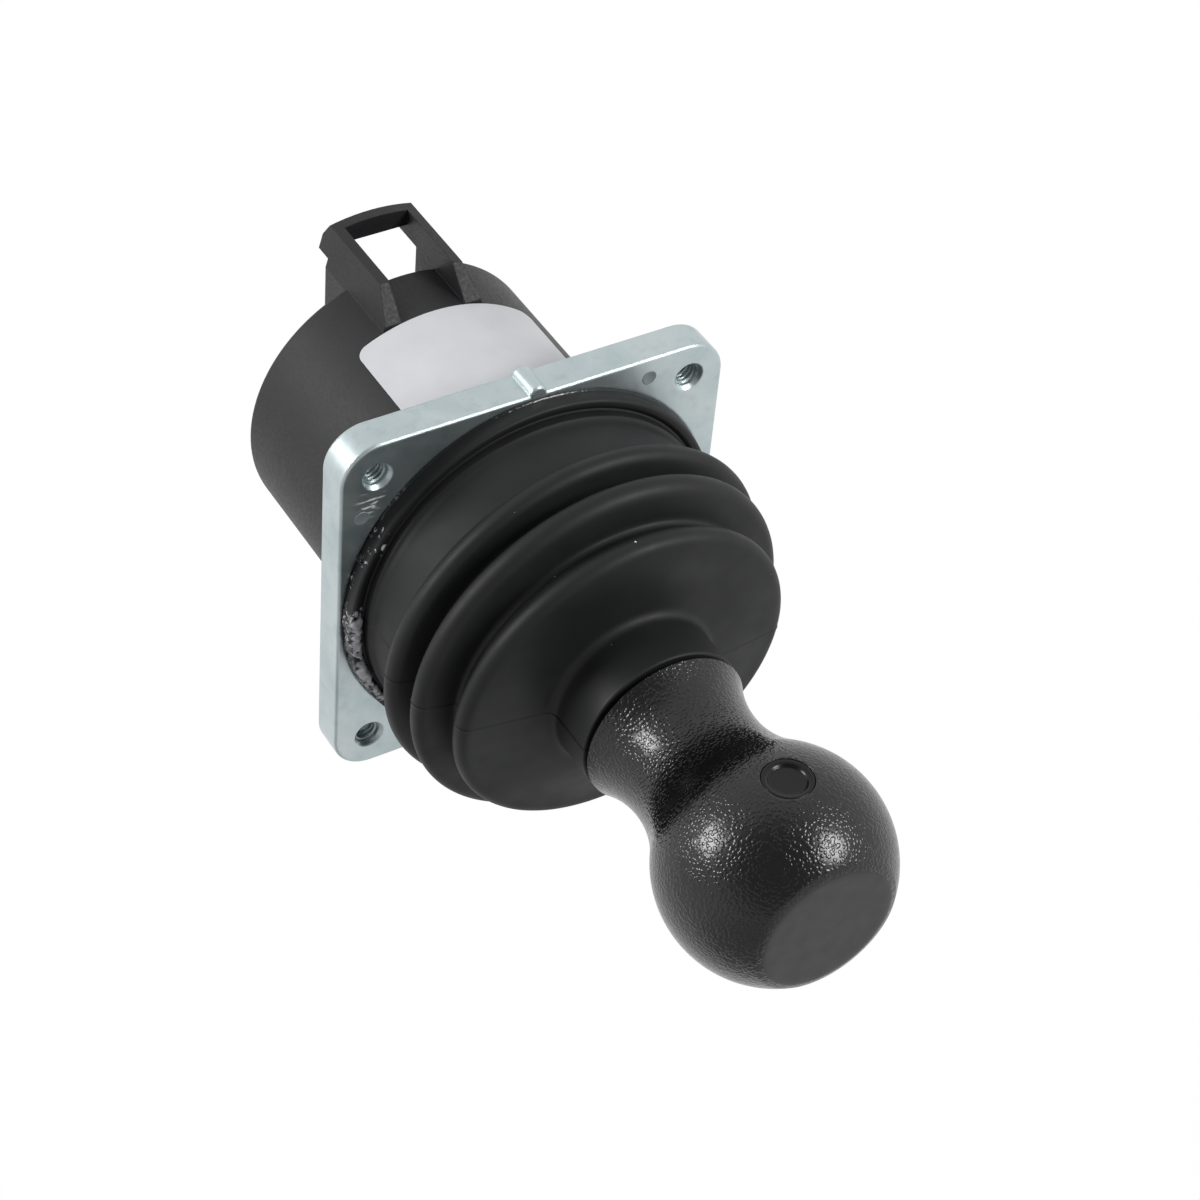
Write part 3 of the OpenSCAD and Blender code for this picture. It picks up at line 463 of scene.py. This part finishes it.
def sealant_material():
    """Black sealant and clear adhesive with silvery metallic patches. The patches are partly painted
    glints of its gloss and partly a light smear.
    """
    m = Material("sealant", srgb(12, 13, 14), rough=0.14)
    # silvery patches: painted glints on the glossy sealant, over a light smear
    smear = m.ramp(m.noise(1.3, detail=4, rough=0.65, distortion=0.8), (0.54, 0.0), (0.6, 1.0))
    smear = m.math("MULTIPLY", smear, m.near(SMEARED, 22))
    m.put("Base Color", m.mix(smear, srgb(12, 13, 14), srgb(176, 182, 188)))
    m.put("Metallic", m.ramp(smear, (0.4, 0.0), (0.6, 0.75)))
    m.bump(m.noise(0.9, detail=3), 0.5, 0.25)
    return m.material


def smear_glint_material():
    """Sealant lumps whose light colour is partly a smear and partly painted glints of their gloss: a
    light streak on the bead's top, broken outside it.
    """
    m = Material("sealant_silver_glints", srgb(168, 174, 180), rough=0.22)
    # light patches and the streak below: painted glints over a light smear
    smear_glint_patches = m.ramp(m.noise(0.8, detail=4, rough=0.65, distortion=0.6), (0.54, 0.0), (0.61, 1.0))
    height = m.node("ShaderNodeSeparateXYZ", {"Vector": m.coords}).outputs["Z"]
    height = m.math("MULTIPLY", height, 1 / (5 * MM))
    height = m.math("MULTIPLY_ADD", m.noise(1.2, detail=3), 0.3, height)
    streak = m.ramp(height, (0.72, 0.0), (0.78, 1.0))
    light = m.math("MAXIMUM", smear_glint_patches, streak)
    # base colour: dark sealant, with painted glints where the patches and the streak are light
    m.put("Base Color", m.mix(light, srgb(18, 19, 20), srgb(176, 176, 182)))
    m.put("Roughness", m.ramp(m.noise(1.5, detail=3), (0.3, 0.14), (0.7, 0.32)))
    m.bump(m.noise(0.5, detail=3), 0.4, 0.1)
    return m.material


ZINC = zinc_material()
RUBBER = rubber_material()
HOUSING = housing_material()
GRIP = grip_material()
LABEL = label_material()
STEEL = metal_material("bright_steel", srgb(190, 192, 195), 0.3)
BLACK_STEEL = metal_material("black_steel", srgb(50, 50, 52), 0.42)
BRONZE = metal_material("sintered_bronze", srgb(186, 140, 80), 0.4)
BOARD = board_material()
FLAT_TOP = flat_top_material()
BUTTON = gloss_material("button_plastic", srgb(8, 8, 9), 0.27, Specular_IOR_Level=0.28)
LEADS = gloss_material("lead_sheath", srgb(60, 58, 56), 0.4)
SEALANT = sealant_material()
SMEAR_GLINT = smear_glint_material()
SPECK = gloss_material("dust_speck", srgb(225, 225, 222), 0.6)
MARK = gloss_material("ejector_mark", srgb(128, 138, 141), 0.5, Metallic=0.4)

SLOT_MATERIALS = {"zinc": ZINC, "steel": STEEL, "black_steel": BLACK_STEEL, "bronze": BRONZE,
                  "housing": HOUSING, "board": BOARD, "label": LABEL, "rubber": RUBBER,
                  "grip": GRIP, "leads": LEADS}

for entry in frame["record"]["subparts"]:
    node = NODES[entry["node"]]
    node.data.materials.clear()
    node.data.materials.append(SLOT_MATERIALS[entry["material_slot"]])


# ---------- boot ----------

LEANS = [(4.5, 0.0, 0.0)] + [(fold[1], *lean) for fold, lean in zip(FOLDS, FOLD_LEANS)]


def lean_at(z):
    """How far the folds rise towards +X and +Y at a height."""
    for (z0, *a), (z1, *b) in zip(LEANS, LEANS[1:]):
        if z < z1:
            t = max(0.0, (z - z0) / (z1 - z0))
            return [p + (q - p) * t for p, q in zip(a, b)]
    return LEANS[-1][1:]


def as_fitted(x, y, z, index, azimuth):
    """The fitted rubber isn't quite true: its folds lean, its outline wanders a little, and a fine
    seam stands up on two sides. The collar and the bead stay true."""
    r = math.hypot(x, y)
    to_x, to_y = lean_at(z)
    rise = (to_x * x + to_y * y) / r * smoothstep((r - COLLAR_R - 0.6) / 13)
    wander = 0.006 * noise.noise((x * 0.035, y * 0.035, z * 0.03 + 3.0))
    k = 1 + wander * smoothstep((z - BEAD_TOP) / 5)
    on_seam = abs((azimuth - SEAM_AZ + 90) % 180 - 90) < 0.05
    if on_seam and z > BEAD_TOP + 1:
        k += SEAM_RISE / r
    return (x * k, y * k, z + rise)


def add_speck(piece, x, y, z, size):
    """A grain of white dust, as part of the piece's own mesh."""
    mesh = bmesh.new()
    mesh.from_mesh(piece.data)
    made = bmesh.ops.create_icosphere(mesh, subdivisions=1, radius=size * MM,
                                      matrix=Matrix.Translation(Vector((x, y, z)) * MM))
    for face in {f for v in made["verts"] for f in v.link_faces}:
        face.material_index = 1
    mesh.to_mesh(piece.data)
    mesh.free()
    piece.data.materials.append(SPECK)


def boot_piece(name, outside, inside):
    """One part of the boot between its outer and inner outline, with columns for the seam."""
    outline = dense(outside, 0.7) + dense(list(reversed(inside)), 1.4)
    seams = [SEAM_AZ + side + step for side in (0, 180) for step in (-SEAM_STEP, 0, SEAM_STEP)]
    azimuths = [a for a in turn(180) if min(abs(a - s) for s in seams) > 0.5] + seams
    form = revolve(outline, sorted(azimuths), closed=True, warp=as_fitted)
    return add_piece(name, form, material=RUBBER, smooth=50)


def bead_outline(foot, count):
    """The bead's outside, from a height over its top into the shallow groove behind it."""
    return ([(BEAD_R, foot)]
            + arc(BEAD_R - BEAD_ROUND, BEAD_TOP - BEAD_ROUND, BEAD_ROUND, 0, 90, count)
            + arc(BEAD_R - 1.1, BEAD_TOP - 0.5, 0.5, 90, 130, 2) + [(BEAD_R - 1.9, BEAD_TOP - 0.5)])


lower_outside = (
    bead_outline(BOOT_FOOT, 4) + [(WALL_R + 0.6, 2.65)] + arc(WALL_R + 0.1, 3.9, 0.35, -20, 60, 3)
    + [(WALL_R, 4.8), (WALL_R, 11.6)] + arc(WALL_R + 2.8, 11.9, 2.8, 180, 145, 4)
    + arc(*FOLDS[0], -45, 75, 10) + arc(*GROOVES[0], 250, 180, 5))
lower_inside = [(29.0, BOOT_FOOT), (29.0, 4.0), (29.4, 5.0), (29.4, 12.2), (32.1, 14.8),
                (32.3, 16.2), (28.4, 18.0), (28.4, SPLIT_Z)]
upper_outside = (
    arc(*GROOVES[0], 180, 110, 5) + arc(*FOLDS[1], -75, 75, 12)
    + arc(*GROOVES[1], 250, 120, 7) + arc(*FOLDS[2], -75, 72, 12)
    + arc(COLLAR_R + 1.6, 35.2, 1.6, 262, 180, 6) + [(COLLAR_R, 42.7)]
    + arc(COLLAR_R - 0.4, 42.9, 0.4, 0, 90, 3))
upper_inside = [(28.4, SPLIT_Z), (28.4, 19.8), (31.0, 21.6), (31.0, 23.4), (26.0, 25.4),
                (26.0, 27.4), (27.4, 29.4), (27.0, 30.6), (12.7, 32.6), (12.7, 43.3)]

boot_lower = boot_piece("boot_lower", lower_outside, lower_inside)
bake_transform(boot_lower)

boot_upper = boot_piece("boot_upper", upper_outside, upper_inside)
add_speck(boot_upper, -0.98, 30.06, 32.09, 0.17)
add_speck(boot_upper, -17.6, 20.1, 32.6, 0.07)
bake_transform(boot_upper)

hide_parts("boot")
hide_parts("boot")


# ---------- grip and button ----------

def grip_outline():
    """Stem, waist, ball and flat top; the waist's curve runs into the ball without a corner."""
    waist_c = WAIST_R + WAIST_CURVE
    waist_z = BALL_Z - math.sqrt((BALL_R + WAIST_CURVE) ** 2 - waist_c ** 2)
    join = math.degrees(math.acos(waist_c / (BALL_R + WAIST_CURVE)))
    top = math.degrees(math.acos(FLAT_R / BALL_R))
    top_z = BALL_Z + BALL_R * math.sin(math.radians(top))
    start = math.degrees(math.asin((SKIRT_Z + 0.5 - waist_z) / WAIST_CURVE))
    foot = [(0, STEM_END), (STEM_R - 0.5, STEM_END), (STEM_R, STEM_END + 0.5), (STEM_R, SKIRT_Z)]
    waist = arc(waist_c, waist_z, WAIST_CURVE, 180 - start, 180 - join, 30)
    ball = arc(0, BALL_Z, BALL_R, -join, top - 2.2, 50)[1:]
    edge = [(FLAT_R - 0.1, top_z - 0.25), (FLAT_R - 0.5, top_z - 0.07), (FLAT_R - 1.1, top_z)]
    return foot + waist + ball + edge + [(0, top_z)]


def cut(piece, form):
    """Takes a closed form out of a piece."""
    tool = add_piece("cutter", form)
    change = piece.modifiers.new("cut", "BOOLEAN")
    change.object = tool
    change.solver = "EXACT"
    bpy.context.view_layer.update()
    done = bpy.data.meshes.new_from_object(piece.evaluated_get(bpy.context.evaluated_depsgraph_get()))
    piece.modifiers.clear()
    piece.data = done
    bpy.data.objects.remove(tool)


def along_y(form):
    """A form made about Z, laid along +Y at the ball's height."""
    points, faces = form
    return [(x, z, BALL_Z - y) for x, y, z in points], faces


recess_r, mouth_r, outside_ball = BUTTON_R + BUTTON_GAP, BUTTON_R + 0.12, BALL_R + 2.1
recess = [(0, RECESS_FLOOR), (recess_r, RECESS_FLOOR), (recess_r, 18.35), (mouth_r, 18.5),
          (mouth_r, outside_ball), (0, outside_ball)]
head = ([(0, BUTTON_BACK), (BUTTON_R - 0.2, BUTTON_BACK), (BUTTON_R, BUTTON_BACK + 0.2)]
        + arc(BUTTON_R - 0.2, 18.2, 0.2, 0, 75, 3) + arc(3.75, 17.35, 1.05, 85, 142, 8)
        + arc(2.645, 18.21, 0.35, -38, -90, 4) + [(1.3, 17.84), (0, 17.83)])

grip = add_piece("grip_body", revolve(dense(grip_outline(), 1.0), turn(192)),
                 body="lever", material=GRIP, smooth=30)
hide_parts("grip", "grip_cap")
cut(grip, along_y(revolve(recess, turn(64))))
grip.data.materials.append(FLAT_TOP)
for face in grip.data.polygons:
    if face.normal.z > 0.99 and face.center.z > (BALL_Z + 14) * MM:
        face.material_index = 1

button = add_piece("button_head", along_y(revolve(dense(head, 0.4), turn(64))),
                   body="push_button", material=BUTTON)
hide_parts("button")


# ---------- label ----------

def label_form():
    """A blank label with rounded corners, wrapped on the housing."""
    width = math.radians(LABEL_TO - LABEL_FROM) * CAN_R
    round_steps = [LABEL_CORNER * (1 - math.cos(math.radians(11.25 * i))) for i in range(9)]
    columns = {width * i / 60 for i in range(61)}
    columns |= set(round_steps) | {width - u for u in round_steps}
    sections = []
    for u in sorted({round(u, 6) for u in columns}):
        into_corner = max(0.0, LABEL_CORNER - u, LABEL_CORNER - width + u)
        inset = LABEL_CORNER - math.sqrt(max(0.0, LABEL_CORNER ** 2 - into_corner ** 2))
        azimuth = math.radians(LABEL_FROM) + u / CAN_R
        low, high = LABEL_LOW + inset, LABEL_TOP - inset
        inner, outer = CAN_R + LABEL_GLUE, CAN_R + LABEL_THICK
        sections.append([at_azimuth(r, z, azimuth)
                         for r, z in ((inner, low), (inner, high), (outer, high), (outer, low))])
    return loft(sections)


label = add_piece("blank_label_film", label_form(), body="base", material=LABEL, smooth=40)
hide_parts("blank_label")


# ---------- threads and ejector marks ----------

def thread_form():
    """A screw thread that stands in from a hole's wall, as three-sided sections along a helix."""
    height = THREAD_TOP - THREAD_END
    turns = height / THREAD_PITCH
    count = int(turns * 28)
    root = HOLE_R + 0.03
    sections = []
    for i in range(count + 1):
        azimuth = math.tau * turns * i / count
        z = THREAD_TOP - height * i / count
        crest = HOLE_R - THREAD_DEPTH * smoothstep(i / 14) * smoothstep((count - i) / 14)
        sections.append([at_azimuth(root, z + 0.28, azimuth), at_azimuth(crest, z, azimuth),
                         at_azimuth(root, z - 0.28, azimuth)])
    return loft(sections)


hole_centres = [(sx * HOLE_XY, sy * HOLE_XY) for sx in (-1, 1) for sy in (-1, 1)]
thread = thread_form()
threads = add_piece("hole_threads", joined(moved(thread, *centre) for centre in hole_centres),
                    body="base", material=ZINC, smooth=25)

MARK_SPOTS = [(20.8, 31.1), (-31.1, 20.8), (-20.8, -31.1), (31.1, -20.8)]
mark_outline = [(0, 0.0), (0, 0.03), (1.0, 0.03), (1.12, 0.07), (1.25, 0.07), (1.35, 0.0)]
mark_form = revolve(mark_outline, turn(40))
marks = add_piece("ejector_marks", joined(moved(mark_form, *spot) for spot in MARK_SPOTS),
                  body="base", material=MARK, smooth=30)


# ---------- loose leads ----------

def wire_form(route, radius, count=14):
    """A round wire along a route (y, z) in the plane x = 0."""
    sections = []
    for k in range(len(route)):
        section = []
        for i in range(count):
            a = math.tau * i / count
            section.append((radius * math.cos(a), *offset(route, k, radius * math.sin(a))))
        sections.append(section)
    return loft(sections)


route = [(-4.3, -28.4), (-5.6, -28.4), (-7.2, -28.9), (-8.6, -30.2), (-9.4, -32.0),
         (-9.9, -34.4), (-10.0, -37.0), (-10.0, -39.5)]
leads = add_piece("loose_leads", wire_form(dense(route, 0.5), LEAD_R), material=LEADS, smooth=60)
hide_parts("board_leads")
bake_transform(leads)


# ---------- sealant ----------

def between(azimuth, start, rise, end, fall):
    """1 between two azimuths, rising from start and falling to end over some degrees."""
    return smoothstep((azimuth - start) / rise) * smoothstep((end - azimuth) / fall)


def smeared(x, y, z, index, azimuth):
    """Smears the thin bead of sealant into lumps on the -X side."""
    side = between(azimuth, 140, 15, 220, 15)
    lump = noise.noise((x * 0.5, y * 0.5, 1.7)) + 0.6 * noise.noise((x * 1.3, y * 1.3, index * 0.4))
    k = 1 + (0.9 * side * lump - 0.5 * side) / math.hypot(x, y)
    top = z + (0.5 * side + 0.6 * side * max(0.0, lump)) if z > 0.2 else z
    return (x * k, y * k, top)


def smear_height(azimuth, across):
    """How far the wiped sealant stands up from the boot's bead, in mm (below 0: none). It is broadest in
    one stretch with a streak along it, and splashed in another; the light colour on both is partly
    painted glints. across goes from 0 at the bead's foot to 1 in the groove behind it."""
    wide = noise.noise((azimuth * 0.16, across * 1.8, 4.0))
    fine = noise.noise((azimuth * 0.55, across * 5.0, 1.0))
    streak = math.exp(-((across - 0.74) / 0.13) ** 2) * smoothstep((azimuth - 178) / 5)
    main = between(azimuth, 170, 7, 214, 4) * (0.16 + 0.55 * wide + 0.35 * fine + 0.3 * streak)
    splash = between(azimuth, 144, 3, 160, 3) * (0.7 * fine + 0.2 * wide - 0.12)
    return (main + splash) * smoothstep((0.97 - across) / 0.12) - 0.05


def smear_form():
    """Sealant wiped over the boot's bead on the -X side, its silvery colour partly painted glints; it is
    closed inside the bead.
    """
    path = dense(bead_outline(0.1, 6) + [(BEAD_R - 2.1, BEAD_TOP - 0.4)], 0.2)
    steps = len(path) - 1
    sections = []
    for i in range(round((SMEAR_TO - SMEAR_FROM) / SMEAR_STEP) + 1):
        azimuth = SMEAR_FROM + SMEAR_STEP * i
        outline = [offset(path, k, smear_height(azimuth, k / steps)) for k in range(steps + 1)]
        outline.append((BEAD_R - 2.0, 0.1))
        sections.append([at_azimuth(r, z, math.radians(azimuth)) for r, z in reversed(outline)])
    return loft(sections)


bead = [(33.0, -0.2), (34.25, -0.2), (34.3, 0.05), (34.1, 0.35), (33.6, 0.6), (33.0, 0.7)]
sealant = add_piece("sealant_smear", revolve(bead, turn(540), closed=True, warp=smeared),
                    body="base", material=SEALANT, smooth=60)
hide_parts("sealant_bead")

# lumps whose light colour is partly painted glints
smears = add_piece("sealant_lumps", smear_form(), body="base", material=SMEAR_GLINT, smooth=50)


# ---------- camera ----------

CAMERA_AZIMUTH = -58.680   # where the camera looks, in degrees
CAMERA_ELEVATION = -37.270
CAMERA_ROLL = 140.485
CAMERA_TARGET = (4.237, 2.578, 16.423)
CAMERA_DISTANCE = 521.316
CAMERA_LENS = 96.39


def place_camera():
    """Puts the camera where the photo was taken from: looking down on the grip, base up left."""
    angles = (CAMERA_AZIMUTH, CAMERA_ELEVATION, CAMERA_ROLL)
    azimuth, elevation, roll = (math.radians(a) for a in angles)
    forward = Vector((math.cos(elevation) * math.cos(azimuth),
                      math.cos(elevation) * math.sin(azimuth), math.sin(elevation)))
    level = forward.cross(Vector((0, 0, 1))).normalized()
    right = level * math.cos(roll) + level.cross(forward) * math.sin(roll)
    turned = Matrix((right, right.cross(forward), -forward)).transposed()
    place = (Vector(CAMERA_TARGET) - CAMERA_DISTANCE * forward) * MM
    data = bpy.data.cameras.new("camera")
    data.sensor_width = 36
    data.lens = CAMERA_LENS
    data.clip_start = 10 * MM
    camera = bpy.data.objects.new("camera", data)
    bpy.context.scene.collection.objects.link(camera)
    camera.matrix_world = Matrix.Translation(place) @ turned.to_4x4()
    bpy.context.scene.camera = camera


place_camera()


# ---------- light and floor ----------

LEFT = (-0.809, 0.438, -0.391)
RIGHT = (0.483, 0.629, 0.609)
LAMP_DISTANCE = 900
LAMP_SIZE = 310
LAMP_POWER = 4.8
LIT_POINT = (0, 0, 30)
WORLD_LIGHT = 0.44
# The studio's two dark sides: direction, dark within, light beyond (degrees), what is left
DARK_SIDES = [((-0.41, 0.68, 0.61), 20, 66, 0.28), ((-0.45, -0.75, 0.5), 10, 50, 0.5)]
FLOOR_SIZE = 3000
FLOOR_Z = -600
FLOOR_GLOW = 1.06
FLOOR_GLOW_SHARE = 0.9     # the rest is paper that takes the shadow


def softbox(name, direction):
    """A square lamp that shines on the part from a direction."""
    direction = Vector(direction).normalized()
    data = bpy.data.lights.new(name, "AREA")
    data.shape = "SQUARE"
    data.size = LAMP_SIZE * MM
    data.energy = LAMP_POWER
    lamp = bpy.data.objects.new(name, data)
    bpy.context.scene.collection.objects.link(lamp)
    lamp.location = (Vector(LIT_POINT) + direction * LAMP_DISTANCE) * MM
    lamp.rotation_euler = direction.to_track_quat("Z", "Y").to_euler()


def seen_factor(tree):
    """1 for rays that come from the camera, a mirror or a clear body, and 0 for lighting rays."""
    rays = add_node(tree, "ShaderNodeLightPath").outputs
    seen = rays["Is Camera Ray"]
    for name in ("Is Glossy Ray", "Is Transmission Ray"):
        seen = add_node(tree, "ShaderNodeMath", {0: seen, 1: rays[name]}, operation="MAXIMUM").outputs[0]
    return seen


def dark_patch(tree, direction, inner, outer):
    """1 within inner degrees of a direction and 0 beyond outer degrees, for the world."""
    coords = add_node(tree, "ShaderNodeTexCoord").outputs["Generated"]
    towards = add_node(tree, "ShaderNodeVectorMath", {
        0: coords, 1: Vector(direction).normalized()}, operation="DOT_PRODUCT").outputs["Value"]
    return add_node(tree, "ShaderNodeMapRange", {
        "Value": towards, "From Min": math.cos(math.radians(outer)),
        "From Max": math.cos(math.radians(inner))}, interpolation_type="SMOOTHSTEP").outputs["Result"]


def mix_shaders(tree, factor, a, b):
    """Shader a where factor is 0 and shader b where it is 1."""
    return add_node(tree, "ShaderNodeMixShader", {0: factor, 1: a, 2: b}).outputs[0]


def make_world():
    """White all round, with the studio's two dark sides; the camera sees it white everywhere."""
    world = bpy.data.worlds.new("studio")
    bpy.context.scene.world = world
    world.use_nodes = True
    tree = world.node_tree
    tree.nodes.clear()

    def background(strength):
        inputs = {"Color": WHITE, "Strength": strength}
        return add_node(tree, "ShaderNodeBackground", inputs).outputs[0]

    seen = background(1.0)
    for direction, inner, outer, strength in DARK_SIDES:
        patch = dark_patch(tree, direction, inner, outer)
        seen = mix_shaders(tree, patch, seen, background(strength))
    surface = mix_shaders(tree, seen_factor(tree), background(WORLD_LIGHT), seen)
    camera_ray = add_node(tree, "ShaderNodeLightPath").outputs["Is Camera Ray"]
    surface = mix_shaders(tree, camera_ray, surface, background(1.0))
    add_node(tree, "ShaderNodeOutputWorld", {"Surface": surface})


def make_floor():
    """A wide sheet of paper far below, white to the camera but for the part's shadow."""
    material = bpy.data.materials.new("floor_paper")
    material.use_nodes = True
    tree = material.node_tree
    tree.nodes.clear()
    paper = add_node(tree, "ShaderNodeBsdfDiffuse", {"Color": (0.85, 0.85, 0.85, 1)}).outputs[0]
    level = add_node(tree, "ShaderNodeMath", {
        0: seen_factor(tree), 1: FLOOR_GLOW}, operation="MULTIPLY").outputs[0]
    glow = add_node(tree, "ShaderNodeEmission", {"Color": WHITE, "Strength": level}).outputs[0]
    surface = mix_shaders(tree, FLOOR_GLOW_SHARE, paper, glow)
    add_node(tree, "ShaderNodeOutputMaterial", {"Surface": surface})
    signs = ((-1, -1), (1, -1), (1, 1), (-1, 1))
    corners = [(sx * FLOOR_SIZE, sy * FLOOR_SIZE, FLOOR_Z) for sx, sy in signs]
    add_piece("floor", (corners, [(0, 1, 2, 3)]), material=material)


softbox("left_softbox", LEFT)
softbox("right_softbox", RIGHT)
make_world()
make_floor()

scene = bpy.context.scene
scene.view_settings.view_transform = "Standard"

bpy.context.view_layer.update()
